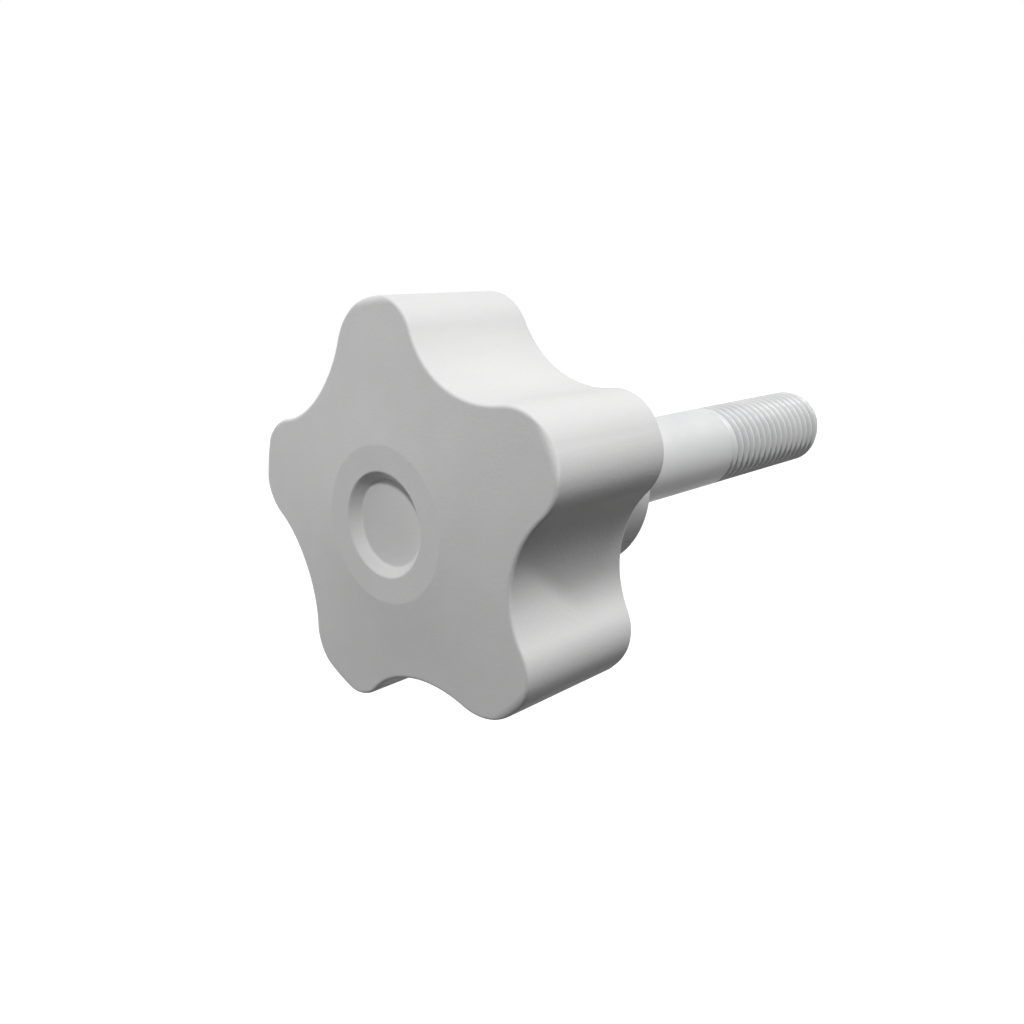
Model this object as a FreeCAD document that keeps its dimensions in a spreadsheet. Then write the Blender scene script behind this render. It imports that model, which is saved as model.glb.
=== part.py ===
import FreeCAD, Part
import math
import os
import Sketcher
from FreeCAD import Vector

# A five-lobe clamping knob. The grip is one plastic moulding around a turned steel stud.
# The axis is Y. The origin is on it, in the plane of the hub's rear face, where the clamped
# part seats. The front face looks towards -Y, the stud points towards +Y, and one lobe is up.

# Driving dimensions in millimetres, and the two counts
SIZES = (
    # Outline of the grip, seen from the front
    ("knob_diameter", 50.0),
    ("lobe_count", 5),
    ("valley_diameter", 36.3),
    ("groove_radius", 12.5),
    ("lobe_corner_radius", 6.0),
    # Grip along its axis
    ("lobed_thickness", 20.5),
    ("hub_length", 14.0),
    ("hub_diameter", 24.0),
    # Front face: a flat ring, then a shallow cone that drops by this much at the knob's diameter
    ("face_ring_diameter", 18.0),
    ("face_drop", 2.25),
    # Round rim of the front face, turned to a little more than the knob's diameter
    ("rim_round", 1.2),
    ("rim_overrun", 0.15),
    # Hollow in the middle of the front face
    ("recess_rim_diameter", 12.0),
    ("recess_floor_diameter", 10.0),
    ("recess_depth", 1.2),
    # Rounded edges of the moulding
    ("edge_round", 0.4),
    ("hub_root_round", 1.0),
    # Free part of the stud
    ("stud_diameter", 12.0),
    ("stud_free_length", 60.0),
    ("tip_chamfer", 1.2),
    # Part of the stud that the moulding holds
    ("knurl_length", 19.0),
    ("knurl_raise", 0.4),
    ("knurl_depth", 0.3),
    ("knurl_groove_width", 0.7),
    ("knurl_count", 30),
    ("collar_diameter", 20.0),
    ("collar_thickness", 5.0),
    ("collar_chamfer", 0.6),
)

doc = FreeCAD.newDocument("Knob")
sheet = doc.addObject("Spreadsheet::Sheet", "Sizes")
for row, (alias, number) in enumerate(SIZES, 1):
    sheet.set(f"A{row}", alias)
    sheet.set(f"B{row}", str(number))
    sheet.setAlias(f"B{row}", alias)
doc.recompute()

# Places along the axis, as expressions of the sizes
FACE = "-(Sizes.hub_length + Sizes.lobed_thickness)"
RIM = f"{FACE} + Sizes.face_drop"
RECESS_FLOOR = f"{FACE} + Sizes.recess_depth"
LOBE_REAR = "-Sizes.hub_length"
SEAT = "0"
COLLAR_FRONT = "-(Sizes.knurl_length + Sizes.collar_thickness)"
COLLAR_REAR = "-Sizes.knurl_length"
TIP = "Sizes.stud_free_length"

# Radii
AXIS = "0"
KNOB = "Sizes.knob_diameter / 2"
VALLEY = "Sizes.valley_diameter / 2"
FACE_RING = "Sizes.face_ring_diameter / 2"
RECESS_RIM = "Sizes.recess_rim_diameter / 2"
RECESS_BOTTOM = "Sizes.recess_floor_diameter / 2"
HUB = "Sizes.hub_diameter / 2"
STUD = "Sizes.stud_diameter / 2"
KNURL = f"{STUD} + Sizes.knurl_raise"
COLLAR = "Sizes.collar_diameter / 2"

# Sketch numbers: the origin point and the two axes, and an edge's start, end and centre
ORIGIN = (-1, 1)
ACROSS_AXIS, UP_AXIS = range(-1, -3, -1)
START, END, CENTRE = range(1, 4)

# Two places this close are one
SAME_PLACE = 1e-4


# Sketches


def new_sketch(body, role, name):
    sketch = body.newObject("Sketcher::SketchObject", name)
    sketch.AttachmentSupport = [(origin_feature(body, role), "")]
    sketch.MapMode = "FlatFace"
    return sketch


def origin_feature(body, role):
    return next(f for f in body.Origin.OriginFeatures if f.Role == role)


def relate(sketch, kind, *places):
    sketch.addConstraint(Sketcher.Constraint(kind, *places))


def measure(sketch, kind, places, expression):
    """Add a dimension that follows the sizes."""
    value = sketch.evalExpression(expression)
    index = sketch.addConstraint(Sketcher.Constraint(kind, *places, value))
    sketch.setExpression(f"Constraints[{index}]", expression)


def place(sketch, point, across, up):
    """Fix a point by its two distances from the origin, given as expressions."""
    for kind, expression, axis in (("DistanceX", across, UP_AXIS), ("DistanceY", up, ACROSS_AXIS)):
        value = sketch.evalExpression(expression)
        if value > 0:
            measure(sketch, kind, (*ORIGIN, *point), expression)
        elif value < 0:
            measure(sketch, kind, (*point, *ORIGIN), f"-({expression})")
        else:
            relate(sketch, "PointOnObject", *point, axis)


def line(sketch, start, end):
    return sketch.addGeometry(Part.LineSegment(start, end))


def arc(sketch, centre, start, end, radius):
    """Add the arc that runs anticlockwise from start to end."""
    angles = [math.atan2(point.y - centre.y, point.x - centre.x) for point in (start, end)]
    circle = Part.Circle(centre, Vector(0, 0, 1), radius)
    return sketch.addGeometry(Part.ArcOfCircle(circle, *angles))


def polygon(sketch, corners):
    """Draw a closed outline of straight edges through corners given as pairs of expressions."""
    points = [Vector(*(sketch.evalExpression(e) for e in corner), 0) for corner in corners]
    edges = [line(sketch, start, end) for start, end in zip(points, points[1:] + points[:1])]
    for edge, following in zip(edges, edges[1:] + edges[:1]):
        relate(sketch, "Coincident", edge, END, following, START)
    for edge, corner in zip(edges, corners):
        place(sketch, (edge, START), *corner)


# Features


def turned(body, kind, name, draw):
    """Turn an outline about the axis, to add material or to cut it away."""
    sketch = new_sketch(body, "XY_Plane", f"{name}Profile")
    draw(sketch)
    feature = body.newObject(kind, name)
    feature.Profile = sketch
    feature.ReferenceAxis = (sketch, ["V_Axis"])
    feature.Angle = 360
    doc.recompute()
    return feature


def cut_around(body, name, draw, length, count):
    """Cut an outline from the seat's plane forwards, and repeat the cut around the axis."""
    sketch = new_sketch(body, "XZ_Plane", f"{name}Profile")
    draw(sketch)
    cut = body.newObject("PartDesign::Pocket", name)
    cut.Profile = sketch
    cut.Reversed = True
    cut.setExpression("Length", length)
    doc.recompute()
    pattern = body.newObject("PartDesign::PolarPattern", f"{name}s")
    pattern.Originals = [cut]
    pattern.Axis = (origin_feature(body, "Y_Axis"), [""])
    pattern.Angle = 360
    pattern.setExpression("Occurrences", count)
    body.Tip = pattern
    doc.recompute()
    return pattern


def rounded(body, base, name, radius, is_wanted):
    """Round those edges of a feature that the test picks."""
    picked = [f"Edge{k}" for k, edge in enumerate(base.Shape.Edges, 1) if is_wanted(edge)]
    fillet = body.newObject("PartDesign::Fillet", name)
    fillet.Base = (base, picked)
    fillet.setExpression("Radius", radius)
    body.Tip = fillet
    doc.recompute()
    return fillet


def in_plane(edge, along):
    """Does the whole edge lie at this place along the axis?"""
    box = edge.BoundBox
    return max(abs(box.YMin - along), abs(box.YMax - along)) < SAME_PLACE


def is_circle(edge, radius):
    return isinstance(edge.Curve, Part.Circle) and abs(edge.Curve.Radius - radius) < SAME_PLACE


# Steel stud, turned from bar


def draw_stud_half(sketch):
    """Half section: chamfered collar, raised knurl up to the seat, shank, chamfered tip."""
    collar_edge = f"{COLLAR} - Sizes.collar_chamfer"
    polygon(sketch, [
        (AXIS, COLLAR_FRONT),
        (collar_edge, COLLAR_FRONT),
        (COLLAR, f"{COLLAR_FRONT} + Sizes.collar_chamfer"),
        (COLLAR, f"{COLLAR_REAR} - Sizes.collar_chamfer"),
        (collar_edge, COLLAR_REAR),
        (KNURL, COLLAR_REAR),
        (KNURL, SEAT),
        (STUD, SEAT),
        (STUD, f"{TIP} - Sizes.tip_chamfer"),
        (f"{STUD} - Sizes.tip_chamfer", TIP),
        (AXIS, TIP),
    ])


def draw_knurl_groove(sketch):
    """One V of the straight knurl, open outwards."""
    side = "Sizes.knurl_groove_width / 2"
    clear = f"{KNURL} + Sizes.knurl_depth"
    polygon(sketch, [
        (AXIS, f"{KNURL} - Sizes.knurl_depth"),
        (side, KNURL),
        (side, clear),
        (f"-({side})", clear),
        (f"-({side})", KNURL),
    ])


def build_stud():
    body = doc.addObject("PartDesign::Body", "Stud")
    turned(body, "PartDesign::Revolution", "Bar", draw_stud_half)
    cut_around(body, "KnurlGroove", draw_knurl_groove, "Sizes.knurl_length", "Sizes.knurl_count")
    return body


# Plastic moulding


def draw_blank_half(sketch):
    """Half section of the plain round blank with its hub."""
    polygon(sketch, [
        (AXIS, FACE),
        (KNOB, FACE),
        (KNOB, LOBE_REAR),
        (HUB, LOBE_REAR),
        (HUB, SEAT),
        (AXIS, SEAT),
    ])


def draw_finger_groove(sketch):
    """The lowest finger groove: a hollow arc that runs into a round lobe corner on each side.

    Each corner arc touches the knob's circle from inside, and there the outline turns outwards.
    """
    overshoot = f"{KNOB} + Sizes.groove_radius"
    knob, valley, groove, corner, far = (
        sketch.evalExpression(e)
        for e in (KNOB, VALLEY, "Sizes.groove_radius", "Sizes.lobe_corner_radius", overshoot)
    )
    corner_reach = knob - corner
    groove_reach = valley + groove
    turn = math.acos(
        (groove_reach**2 + corner_reach**2 - (groove + corner) ** 2) / (2 * groove_reach * corner_reach)
    )
    outward = Vector(math.sin(turn), -math.cos(turn), 0)
    groove_centre = Vector(0, -groove_reach, 0)
    corner_centre = outward * corner_reach
    touch = corner_centre + (groove_centre - corner_centre) * (corner / (groove + corner))
    outer = outward * knob
    far_end = outward * (far / math.cos(turn))

    def mirrored(point):
        return Vector(-point.x, point.y, 0)

    hollow = arc(sketch, groove_centre, touch, mirrored(touch), groove)
    right = arc(sketch, corner_centre, touch, outer, corner)
    left = arc(sketch, mirrored(corner_centre), mirrored(outer), mirrored(touch), corner)
    right_side = line(sketch, outer, far_end)
    bottom = line(sketch, far_end, mirrored(far_end))
    left_side = line(sketch, mirrored(far_end), mirrored(outer))

    relate(sketch, "PointOnObject", hollow, CENTRE, UP_AXIS)
    measure(sketch, "DistanceY", (hollow, CENTRE, *ORIGIN), f"{VALLEY} + Sizes.groove_radius")
    measure(sketch, "Radius", (hollow,), "Sizes.groove_radius")
    relate(sketch, "Tangent", hollow, START, right, START)
    relate(sketch, "Tangent", hollow, END, left, END)
    for corner_arc, side, outer_end, side_end in (
        (right, right_side, END, START),
        (left, left_side, START, END),
    ):
        measure(sketch, "Radius", (corner_arc,), "Sizes.lobe_corner_radius")
        measure(sketch, "Distance", (*ORIGIN, corner_arc, CENTRE), f"{KNOB} - Sizes.lobe_corner_radius")
        relate(sketch, "Coincident", corner_arc, outer_end, side, side_end)
        relate(sketch, "PointOnObject", corner_arc, CENTRE, side)
        relate(sketch, "PointOnObject", *ORIGIN, side)
    relate(sketch, "Coincident", right_side, END, bottom, START)
    relate(sketch, "Coincident", bottom, END, left_side, START)
    relate(sketch, "Horizontal", bottom)
    measure(sketch, "DistanceY", (bottom, START, *ORIGIN), overshoot)


def draw_front_cut(sketch):
    """What is turned off in front of the cone and of the round rim.

    The rim's arc runs on past the knob's circle, so that it meets the lobes' ends at an angle.
    """
    edge = f"{KNOB} + Sizes.rim_overrun"
    clear = f"{FACE} - Sizes.face_drop"
    ring_x, face_y, knob_x, rim_y, edge_x, clear_y, radius = (
        sketch.evalExpression(e) for e in (FACE_RING, FACE, KNOB, RIM, edge, clear, "Sizes.rim_round")
    )
    slope = math.atan2(rim_y - face_y, knob_x - ring_x)
    arc_start_x = edge_x - radius * (1 - math.sin(slope))
    arc_start = Vector(arc_start_x, face_y + (arc_start_x - ring_x) * math.tan(slope), 0)
    centre = Vector(edge_x - radius, arc_start.y + radius * math.cos(slope), 0)
    arc_end = Vector(edge_x, centre.y, 0)
    ring_point = Vector(ring_x, face_y, 0)
    clear_corner = Vector(edge_x, clear_y, 0)
    clear_start = Vector(ring_x, clear_y, 0)

    cone = line(sketch, ring_point, arc_start)
    rim = arc(sketch, centre, arc_start, arc_end, radius)
    side = line(sketch, arc_end, clear_corner)
    top = line(sketch, clear_corner, clear_start)
    back = line(sketch, clear_start, ring_point)
    cone_foot = sketch.addGeometry(Part.Point(Vector(knob_x, rim_y, 0)), True)

    place(sketch, (cone, START), FACE_RING, FACE)
    place(sketch, (cone_foot, START), KNOB, RIM)
    relate(sketch, "PointOnObject", cone_foot, START, cone)
    relate(sketch, "Tangent", cone, END, rim, START)
    relate(sketch, "Tangent", rim, END, side, START)
    measure(sketch, "Radius", (rim,), "Sizes.rim_round")
    relate(sketch, "Coincident", side, END, top, START)
    place(sketch, (top, START), edge, clear)
    relate(sketch, "Vertical", side)
    relate(sketch, "Coincident", top, END, back, START)
    relate(sketch, "Horizontal", top)
    relate(sketch, "Coincident", back, END, cone, START)
    relate(sketch, "Vertical", back)


def draw_recess_half(sketch):
    """Half section of the shallow hollow with its sloping wall."""
    polygon(sketch, [
        (AXIS, FACE),
        (RECESS_RIM, FACE),
        (RECESS_BOTTOM, RECESS_FLOOR),
        (AXIS, RECESS_FLOOR),
    ])


def build_moulding():
    body = doc.addObject("PartDesign::Body", "Moulding")
    turned(body, "PartDesign::Revolution", "Blank", draw_blank_half)
    depth = "Sizes.hub_length + Sizes.lobed_thickness"
    cut_around(body, "FingerGroove", draw_finger_groove, depth, "Sizes.lobe_count")
    front = turned(body, "PartDesign::Groove", "Front", draw_front_cut)
    hub, lobe_rear, seat = (body.evalExpression(e) for e in (HUB, LOBE_REAR, SEAT))

    def is_front_edge(edge):
        """Where the cone or the round rim meets the lobes' side walls."""
        kinds = {type(face.Surface) for face in front.Shape.ancestorsOfType(edge, Part.Face)}
        return Part.Cylinder in kinds and bool(kinds & {Part.Cone, Part.Toroid})

    def is_rear_edge(edge):
        return not is_circle(edge, hub) and in_plane(edge, lobe_rear) or in_plane(edge, seat)

    def is_hub_root(edge):
        return is_circle(edge, hub) and in_plane(edge, lobe_rear)

    outline = rounded(body, front, "FrontRound", "Sizes.edge_round", is_front_edge)
    rear = rounded(body, outline, "RearRound", "Sizes.edge_round", is_rear_edge)
    rounded(body, rear, "HubRootRound", "Sizes.hub_root_round", is_hub_root)
    turned(body, "PartDesign::Groove", "Recess", draw_recess_half)
    return body


# The moulding closes round the stud's collar and knurl without a gap


def build_grip(moulding, stud):
    grip = doc.addObject("Part::Cut", "Grip")
    grip.Base = moulding
    grip.Tool = stud
    doc.recompute()
    return grip


def check(pieces):
    failed = [o.Name for o in doc.Objects if "Invalid" in o.State or "Error" in o.State]
    failed += [p.Label for p in pieces if p.Shape.isNull() or not p.Shape.isValid()]
    if failed:
        raise SystemExit(f"failed: {failed}")


stud = build_stud()
grip = build_grip(build_moulding(), stud)
grip.Label = "lobed_grip"
stud.Label = "threaded_stud"
check((grip, stud))
os.makedirs("parts", exist_ok=True)
for piece in (grip, stud):
    piece.Shape.exportStep(f"parts/{piece.Label}.step")
    print(piece.Label, round(piece.Shape.Volume, 3), len(piece.Shape.Solids), len(piece.Shape.Faces))
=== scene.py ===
import math

import bmesh
import bpy
import numpy as np
from mathutils import Matrix, Vector


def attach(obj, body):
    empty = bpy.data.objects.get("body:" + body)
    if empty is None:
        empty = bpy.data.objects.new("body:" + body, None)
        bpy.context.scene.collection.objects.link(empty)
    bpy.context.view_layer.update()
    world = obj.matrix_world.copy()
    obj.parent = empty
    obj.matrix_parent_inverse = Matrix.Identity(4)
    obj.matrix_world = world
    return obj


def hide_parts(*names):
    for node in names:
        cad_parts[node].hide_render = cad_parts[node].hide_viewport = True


# A five-lobe clamping knob on a steel stud, in metres with Z up. The knob's axis is Y: its front
# looks towards -Y, the stud points towards +Y, and the hub's rear face is at y = 0.

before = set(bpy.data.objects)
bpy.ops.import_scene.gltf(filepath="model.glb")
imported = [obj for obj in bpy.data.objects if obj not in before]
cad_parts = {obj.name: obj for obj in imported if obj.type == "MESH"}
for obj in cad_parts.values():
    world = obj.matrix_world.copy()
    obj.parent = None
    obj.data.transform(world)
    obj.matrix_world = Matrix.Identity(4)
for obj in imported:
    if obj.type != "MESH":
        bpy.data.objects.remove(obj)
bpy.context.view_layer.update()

MM = 0.001

# Free part of the stud: a plain shank, then the thread up to the chamfered tip
STUD_RADIUS = 6.0 * MM
STUD_LENGTH = 60.0 * MM
TIP_CHAMFER = 1.2 * MM
THREAD_PITCH = 1.75 * MM
THREAD_START = 30.0 * MM
# Turns over which the groove reaches its full depth
THREAD_RUN_IN = 1.5
# Flat crest and flat root of the thread, as shares of its pitch
CREST_SHARE = 1 / 8
ROOT_SHARE = 1 / 4
FLANK_ANGLE = math.radians(30)
THREAD_DEPTH = (1 - CREST_SHARE - ROOT_SHARE) / 2 * THREAD_PITCH / math.tan(FLANK_ANGLE)
# Where the first groove's middle crosses the +X side
FIRST_GROOVE = THREAD_START + (1 - CREST_SHARE) / 2 * THREAD_PITCH

# Part of the stud that the moulding holds
KNURL_RADIUS = 6.4 * MM
KNURL_FRONT = -19.0 * MM
COLLAR_RADIUS = 10.0 * MM
COLLAR_FRONT = -24.0 * MM
COLLAR_CHAMFER = 0.6 * MM

# Fineness of the stud's mesh, and the angle above which its edges stay crisp
STUD_SIDES = 72
SHANK_RINGS = 11
RINGS_PER_TURN = 16
CRISP_ANGLE = math.radians(28)

# Plastic: colours, the width of its softened and worn edges, and the height of its grain
PLASTIC_DARK = (0.67, 0.67, 0.667, 1)
PLASTIC_LIGHT = (0.71, 0.71, 0.707, 1)
PLASTIC_GRAIN = (0.60, 0.60, 0.60, 1)
PLASTIC_WORN = (0.76, 0.76, 0.755, 1)
PLASTIC_SOFT_EDGE = 0.35 * MM
PLASTIC_WORN_EDGE = 0.7 * MM
GRAIN_HEIGHT = 0.022 * MM

# Steel: colours, with a painted shade for the thread roots and a painted glint on the worn crest edges, the
# width of its worn and glinting edges, and the height of its tool marks and spangle
STEEL_DARK = (0.63, 0.635, 0.64, 1)
STEEL_LIGHT = (0.69, 0.69, 0.695, 1)
# Painted shade: the colour that the thread roots are darkened towards, where shade would fall
STEEL_PAINTED_ROOT_SHADE = (0.30, 0.305, 0.31, 1)
# Worn edges, lightened also as a painted glint
STEEL_WEAR_AND_GLINT = (0.82, 0.82, 0.825, 1)
STEEL_WEAR_AND_GLINT_EDGE = 0.3 * MM
TOOL_MARK_HEIGHT = 0.016 * MM
SPANGLE_HEIGHT = 0.006 * MM
# Margin that keeps the painted root shade off the crest tops and off the tip's flat face
ROOT_SHADE_MARGIN = 0.1 * MM

# Stage: the floor is white to the rays that show the background, and dark to all others
WHITE = (1, 1, 1, 1)
FLOOR_SIZE = 30.0
FLOOR_DROP = 0.60
FLOOR_ALBEDO = 0.8
FLOOR_BOUNCE = 0.06
FLOOR_GLOW = 0.32
BACKGROUND = 1.0
AMBIENT = 0.01

# Suns, as name, where the light comes from, its strength and its spread in degrees
SUNS = (
    ("key", (0.56, -0.80, 1.02), 2.08, 8.0),
    ("side", (0.70, 0.30, 0.80), 2.07, 24.0),
    ("left", (-0.95, -0.20, 0.25), 1.20, 50.0),
    ("front", (-0.30, -1.00, 0.20), 0.27, 50.0),
    ("back", (-0.15, 1.00, 0.05), 0.90, 20.0),
)

# Camera fitted to the photograph: its place, its rotation vector and its focal length
CAMERA_PLACE = (0.08910, -0.10838, 0.01653)
CAMERA_ROTATION = (1.66573123, 0.55757121, -0.63518056)
FOCAL_PIXELS = 1046.86
IMAGE_PIXELS = 1024
SENSOR_WIDTH = 36.0
NEAREST = 0.005
FARTHEST = 50.0


# Node helpers

# Sockets of the Mix node when it mixes colours
MIX_SHARE = 0
MIX_FIRST = 6
MIX_SECOND = 7
MIX_RESULT = 2

# How far a rounded normal agrees with the real one where an edge's wear begins, and where it is full
WEAR_BEGINS = 0.995
WEAR_FULL = 0.90


class Shading:
    """The nodes of a material or of the world, made and linked in one call each."""

    def __init__(self, owner):
        owner.use_nodes = True
        self.owner = owner
        self.nodes = owner.node_tree.nodes
        self.links = owner.node_tree.links
        self.nodes.clear()

    def put(self, node, name, value):
        """Link a socket into an input, or set the input to a constant."""
        if isinstance(value, bpy.types.NodeSocket):
            self.links.new(value, node.inputs[name])
        else:
            node.inputs[name].default_value = value

    def add(self, kind, settings=None, **inputs):
        node = self.nodes.new(kind)
        for key, value in (settings or {}).items():
            setattr(node, key, value)
        for key, value in inputs.items():
            self.put(node, key.replace("_", " "), value)
        return node

    def math(self, operation, first, second):
        node = self.add("ShaderNodeMath", {"operation": operation})
        self.put(node, 0, first)
        self.put(node, 1, second)
        return node.outputs["Value"]

    def vector_math(self, operation, first, second=None):
        node = self.add("ShaderNodeVectorMath", {"operation": operation})
        self.put(node, 0, first)
        if second is not None:
            self.put(node, 1, second)
        return node.outputs["Value"]

    def spread(self, value, source, target):
        """Map one range of a value onto another, and hold it at the ends."""
        node = self.add("ShaderNodeMapRange", {"clamp": True}, Value=value)
        self.put(node, "From Min", source[0])
        self.put(node, "From Max", source[1])
        self.put(node, "To Min", target[0])
        self.put(node, "To Max", target[1])
        return node.outputs["Result"]

    def stretched(self, place, scale):
        return self.add("ShaderNodeMapping", Vector=place, Scale=scale).outputs["Vector"]

    def noise(self, place, scale, detail=3.0, roughness=0.55):
        node = self.add("ShaderNodeTexNoise", Vector=place, Scale=scale, Detail=detail, Roughness=roughness)
        return node.outputs["Fac"]

    def mix_colour(self, share, first, second):
        node = self.add("ShaderNodeMix", {"data_type": "RGBA"})
        self.put(node, MIX_SHARE, share)
        self.put(node, MIX_FIRST, first)
        self.put(node, MIX_SECOND, second)
        return node.outputs[MIX_RESULT]

    def mix_shaders(self, share, first, second):
        node = self.add("ShaderNodeMixShader")
        self.put(node, 0, share)
        self.put(node, 1, first)
        self.put(node, 2, second)
        return node.outputs["Shader"]

    def bevel(self, radius, samples):
        """A normal that is rounded over the edges, out to this radius."""
        return self.add("ShaderNodeBevel", {"samples": samples}, Radius=radius).outputs["Normal"]

    def bump(self, height, distance, strength, below=None):
        """Relief on the surface, or on top of another normal."""
        node = self.add("ShaderNodeBump", Strength=strength, Distance=distance, Height=height)
        if below is not None:
            self.put(node, "Normal", below)
        return node.outputs["Normal"]

    def edge_mask(self, radius):
        """Bright on convex and concave edges, by how far a rounded normal leaves the real one."""
        plain = self.add("ShaderNodeNewGeometry").outputs["Normal"]
        agreement = self.vector_math("DOT_PRODUCT", self.bevel(radius, samples=6), plain)
        return self.spread(agreement, (WEAR_BEGINS, WEAR_FULL), (0.0, 1.0))

    def background_rays(self):
        """1 for the rays that show the background: camera, glossy and transmitted ones."""
        path = self.add("ShaderNodeLightPath")
        seen = self.math("MAXIMUM", path.outputs["Is Camera Ray"], path.outputs["Is Glossy Ray"])
        return self.math("MAXIMUM", seen, path.outputs["Is Transmission Ray"])

    def finish(self, surface, output="ShaderNodeOutputMaterial"):
        self.put(self.add(output), "Surface", surface)
        return self.owner


def moulded_plastic():
    """Light grey moulded plastic: fine eroded grain, faint flow clouds, edges polished by hands."""
    s = Shading(bpy.data.materials.new("grip_plastic"))
    place = s.add("ShaderNodeTexCoord").outputs["Object"]
    clouds = s.noise(place, scale=55.0, detail=4.0, roughness=0.6)
    flow = s.noise(s.stretched(place, (160.0, 40.0, 160.0)), scale=1.0, detail=2.0)
    grain = s.noise(place, scale=3800.0, detail=2.0, roughness=0.6)
    pits = s.add("ShaderNodeTexVoronoi", {"feature": "SMOOTH_F1"}, Vector=place, Scale=2600.0)
    patches = s.spread(s.noise(place, scale=260.0), (0.35, 0.65), (0.25, 1.0))
    worn = s.math("MULTIPLY", s.edge_mask(PLASTIC_WORN_EDGE), patches)

    shade = s.spread(s.math("ADD", clouds, flow), (0.7, 1.3), (0.0, 1.0))
    colour = s.mix_colour(shade, PLASTIC_DARK, PLASTIC_LIGHT)
    colour = s.mix_colour(s.spread(grain, (0.3, 0.7), (0.0, 0.14)), colour, PLASTIC_GRAIN)
    colour = s.mix_colour(s.math("MULTIPLY", worn, 0.35), colour, PLASTIC_WORN)
    rough = s.spread(clouds, (0.3, 0.7), (0.60, 0.68))
    rough = s.math("SUBTRACT", rough, s.math("MULTIPLY", worn, 0.10))
    soft = s.bevel(PLASTIC_SOFT_EDGE, samples=8)
    fine = s.bump(grain, GRAIN_HEIGHT, strength=0.6, below=soft)
    normal = s.bump(pits.outputs["Distance"], GRAIN_HEIGHT, strength=0.5, below=fine)

    shader = s.add("ShaderNodeBsdfPrincipled", Base_Color=colour, Roughness=rough, Normal=normal)
    shader.inputs["IOR"].default_value = 1.49
    shader.inputs["Specular IOR Level"].default_value = 0.2
    return s.finish(shader.outputs["BSDF"])


def plated_steel():
    """Dull zinc on turned steel: rings of the turning tool, painted shade at each thread root, and worn
    crest edges lightened also as a painted glint.
    """
    s = Shading(bpy.data.materials.new("stud_steel"))
    place = s.add("ShaderNodeTexCoord").outputs["Object"]
    clouds = s.noise(place, scale=110.0, detail=4.0, roughness=0.6)
    rings = s.noise(s.stretched(place, (60.0, 5200.0, 60.0)), scale=1.0, detail=3.0, roughness=0.6)
    spangle = s.noise(place, scale=1700.0, detail=2.0, roughness=0.5)
    # Edges for real wear (smoother) and for a painted glint (lighter colour)
    wear_and_glint_edges = s.edge_mask(STEEL_WEAR_AND_GLINT_EDGE)

    # Painted shade in the thread roots: darker from near the crest radius down to the root radius, and none
    # on the tip's flat face
    from_axis = s.vector_math("LENGTH", s.stretched(place, (1.0, 0.0, 1.0)))
    depths = (STUD_RADIUS - THREAD_DEPTH, STUD_RADIUS - ROOT_SHADE_MARGIN)
    painted_root_shade = s.spread(from_axis, depths, (1.0, 0.0))
    along = s.add("ShaderNodeSeparateXYZ", Vector=place).outputs["Y"]
    painted_root_shade = s.math("MULTIPLY", painted_root_shade, s.math("LESS_THAN", along, STUD_LENGTH - ROOT_SHADE_MARGIN))

    colour = s.mix_colour(s.spread(clouds, (0.35, 0.65), (0.0, 1.0)), STEEL_DARK, STEEL_LIGHT)
    # Painted shade darkens the thread roots
    colour = s.mix_colour(s.math("MULTIPLY", painted_root_shade, 0.5), colour, STEEL_PAINTED_ROOT_SHADE)
    # Painted glint, partly wear: the edges lighter in colour
    colour = s.mix_colour(s.math("MULTIPLY", wear_and_glint_edges, 0.5), colour, STEEL_WEAR_AND_GLINT)
    rough = s.spread(s.math("ADD", rings, clouds), (0.7, 1.3), (0.36, 0.52))
    rough = s.math("SUBTRACT", rough, s.math("MULTIPLY", wear_and_glint_edges, 0.14))
    fine = s.bump(rings, TOOL_MARK_HEIGHT, strength=0.6)
    normal = s.bump(spangle, SPANGLE_HEIGHT, strength=0.4, below=fine)

    shader = s.add("ShaderNodeBsdfPrincipled", Base_Color=colour, Roughness=rough, Normal=normal)
    shader.inputs["Metallic"].default_value = 0.07
    shader.inputs["Specular IOR Level"].default_value = 0.17
    return s.finish(shader.outputs["BSDF"])


# Stud


def ring_of(bm, radii, y):
    """A ring of vertices about the axis with its own radius at each angle, from +Z towards +X."""
    made = []
    for k, radius in enumerate(radii):
        angle = 2 * math.pi * k / len(radii)
        made.append(bm.verts.new((radius * math.sin(angle), y, radius * math.cos(angle))))
    return made


def bridge(bm, first, second):
    """Faces between two rings of the same number of vertices."""
    for k in range(len(first)):
        n = (k + 1) % len(first)
        bm.faces.new((first[k], second[k], second[n], first[n]))


def free_radius(y, angle):
    """Radius of the free stud at a place along the axis and around it."""
    chamfer_start = STUD_LENGTH - TIP_CHAMFER
    unthreaded = STUD_RADIUS - max(0.0, y - chamfer_start)
    if y < THREAD_START:
        return unthreaded
    # In turns: 0 is a groove's middle and 0.5 a crest's middle. Angle 0 is +Z, and +X is 0.25 on.
    phase = ((y - FIRST_GROOVE) / THREAD_PITCH - angle / (2 * math.pi) + 0.25) % 1.0
    from_crest = abs(phase - 0.5) * 2
    slope = (from_crest - CREST_SHARE) / (1 - CREST_SHARE - ROOT_SHARE)
    share = min(1.0, max(0.0, slope))
    run_in = min(1.0, (y - THREAD_START) / (THREAD_RUN_IN * THREAD_PITCH))
    return min(unthreaded, STUD_RADIUS - share * THREAD_DEPTH * run_in)


def smooth_by_angle(bm, crisp_from):
    """Smooth shading, with every sharper edge kept crisp."""
    for face in bm.faces:
        face.smooth = True
    for edge in bm.edges:
        edge.smooth = len(edge.link_faces) == 2 and edge.calc_face_angle(0.0) < crisp_from


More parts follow.
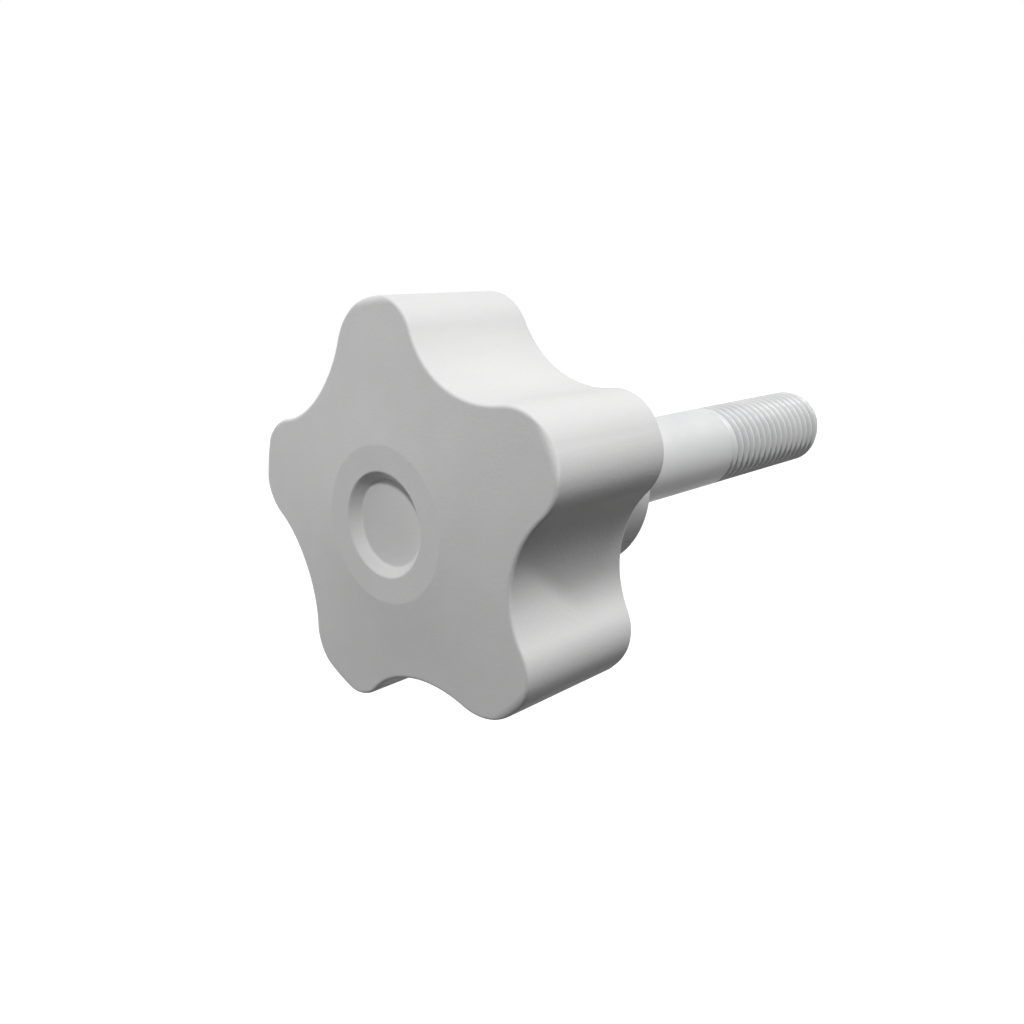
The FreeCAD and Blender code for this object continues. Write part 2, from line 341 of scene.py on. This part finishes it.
def build_stud():
    """One mesh: collar, neck, plain shank, and a right-hand thread up to the chamfered tip."""
    bm = bmesh.new()
    held = (
        (COLLAR_RADIUS - COLLAR_CHAMFER, COLLAR_FRONT),
        (COLLAR_RADIUS, COLLAR_FRONT + COLLAR_CHAMFER),
        (COLLAR_RADIUS, KNURL_FRONT - COLLAR_CHAMFER),
        (COLLAR_RADIUS - COLLAR_CHAMFER, KNURL_FRONT),
        (KNURL_RADIUS, KNURL_FRONT),
        (KNURL_RADIUS, 0.0),
        (STUD_RADIUS, 0.0),
    )
    rings = [ring_of(bm, [radius] * STUD_SIDES, y) for radius, y in held]

    thread_rings = round((STUD_LENGTH - THREAD_START) / (THREAD_PITCH / RINGS_PER_TURN))
    places = list(np.linspace(0.0, THREAD_START, SHANK_RINGS + 1)[1:])
    places += list(np.linspace(THREAD_START, STUD_LENGTH, thread_rings + 1)[1:])
    angles = [2 * math.pi * k / STUD_SIDES for k in range(STUD_SIDES)]
    for y in places:
        rings.append(ring_of(bm, [free_radius(y, angle) for angle in angles], y))

    for first, second in zip(rings, rings[1:]):
        bridge(bm, first, second)
    bm.faces.new(rings[0])
    bm.faces.new(reversed(rings[-1]))
    bmesh.ops.recalc_face_normals(bm, faces=bm.faces)
    bm.normal_update()
    smooth_by_angle(bm, CRISP_ANGLE)

    mesh = bpy.data.meshes.new("stud")
    bm.to_mesh(mesh)
    bm.free()
    piece = bpy.data.objects.new("stud", mesh)
    bpy.context.scene.collection.objects.link(piece)
    return piece


# Stage


def floor_material():
    """White to the rays that show the background, with the object's shadow, and dark to others."""
    s = Shading(bpy.data.materials.new("floor_white"))
    pale = s.add("ShaderNodeBsdfDiffuse", Color=(FLOOR_ALBEDO, FLOOR_ALBEDO, FLOOR_ALBEDO, 1))
    dark = s.add("ShaderNodeBsdfDiffuse", Color=(FLOOR_BOUNCE, FLOOR_BOUNCE, FLOOR_BOUNCE, 1))
    glow = s.add("ShaderNodeEmission", Strength=FLOOR_GLOW)
    bright = s.add("ShaderNodeAddShader")
    s.put(bright, 0, pale.outputs["BSDF"])
    s.put(bright, 1, glow.outputs["Emission"])
    return s.finish(s.mix_shaders(s.background_rays(), dark.outputs["BSDF"], bright.outputs["Shader"]))


def build_floor():
    bpy.ops.mesh.primitive_plane_add(size=FLOOR_SIZE, location=(0, 0, -FLOOR_DROP))
    floor = bpy.context.object
    floor.name = "floor"
    floor.data.materials.append(floor_material())


def build_world():
    """White to the rays that show the background, and almost no light on the object."""
    s = Shading(bpy.data.worlds.new("studio"))
    dim = s.add("ShaderNodeBackground", Color=WHITE, Strength=AMBIENT).outputs["Background"]
    white = s.add("ShaderNodeBackground", Color=WHITE, Strength=BACKGROUND).outputs["Background"]
    surface = s.mix_shaders(s.background_rays(), dim, white)
    bpy.context.scene.world = s.finish(surface, "ShaderNodeOutputWorld")


def build_lamps():
    for name, direction, strength, spread in SUNS:
        sun = bpy.data.lights.new(name, "SUN")
        sun.energy = strength
        sun.angle = math.radians(spread)
        lamp = bpy.data.objects.new(name, sun)
        lamp.rotation_mode = "QUATERNION"
        lamp.rotation_quaternion = Vector(direction).to_track_quat("Z", "Y")
        bpy.context.scene.collection.objects.link(lamp)


def build_camera():
    data = bpy.data.cameras.new("camera")
    data.sensor_width = SENSOR_WIDTH
    data.sensor_fit = "HORIZONTAL"
    data.lens = FOCAL_PIXELS / IMAGE_PIXELS * SENSOR_WIDTH
    data.clip_start = NEAREST
    data.clip_end = FARTHEST
    turn = Vector(CAMERA_ROTATION)
    right, down, forward = Matrix.Rotation(turn.length, 3, turn.normalized())
    matrix = Matrix((right, -down, -forward)).transposed().to_4x4()
    matrix.translation = Vector(CAMERA_PLACE)
    camera = bpy.data.objects.new("camera", data)
    camera.matrix_world = matrix
    bpy.context.scene.collection.objects.link(camera)
    bpy.context.scene.camera = camera


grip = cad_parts["lobed_grip"]
grip.data.materials.clear()
grip.data.materials.append(moulded_plastic())

stud = build_stud()
stud.data.materials.append(plated_steel())
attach(stud, "root")
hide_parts("threaded_stud")

build_floor()
build_world()
build_lamps()
build_camera()

bpy.context.scene.view_settings.view_transform = "Standard"
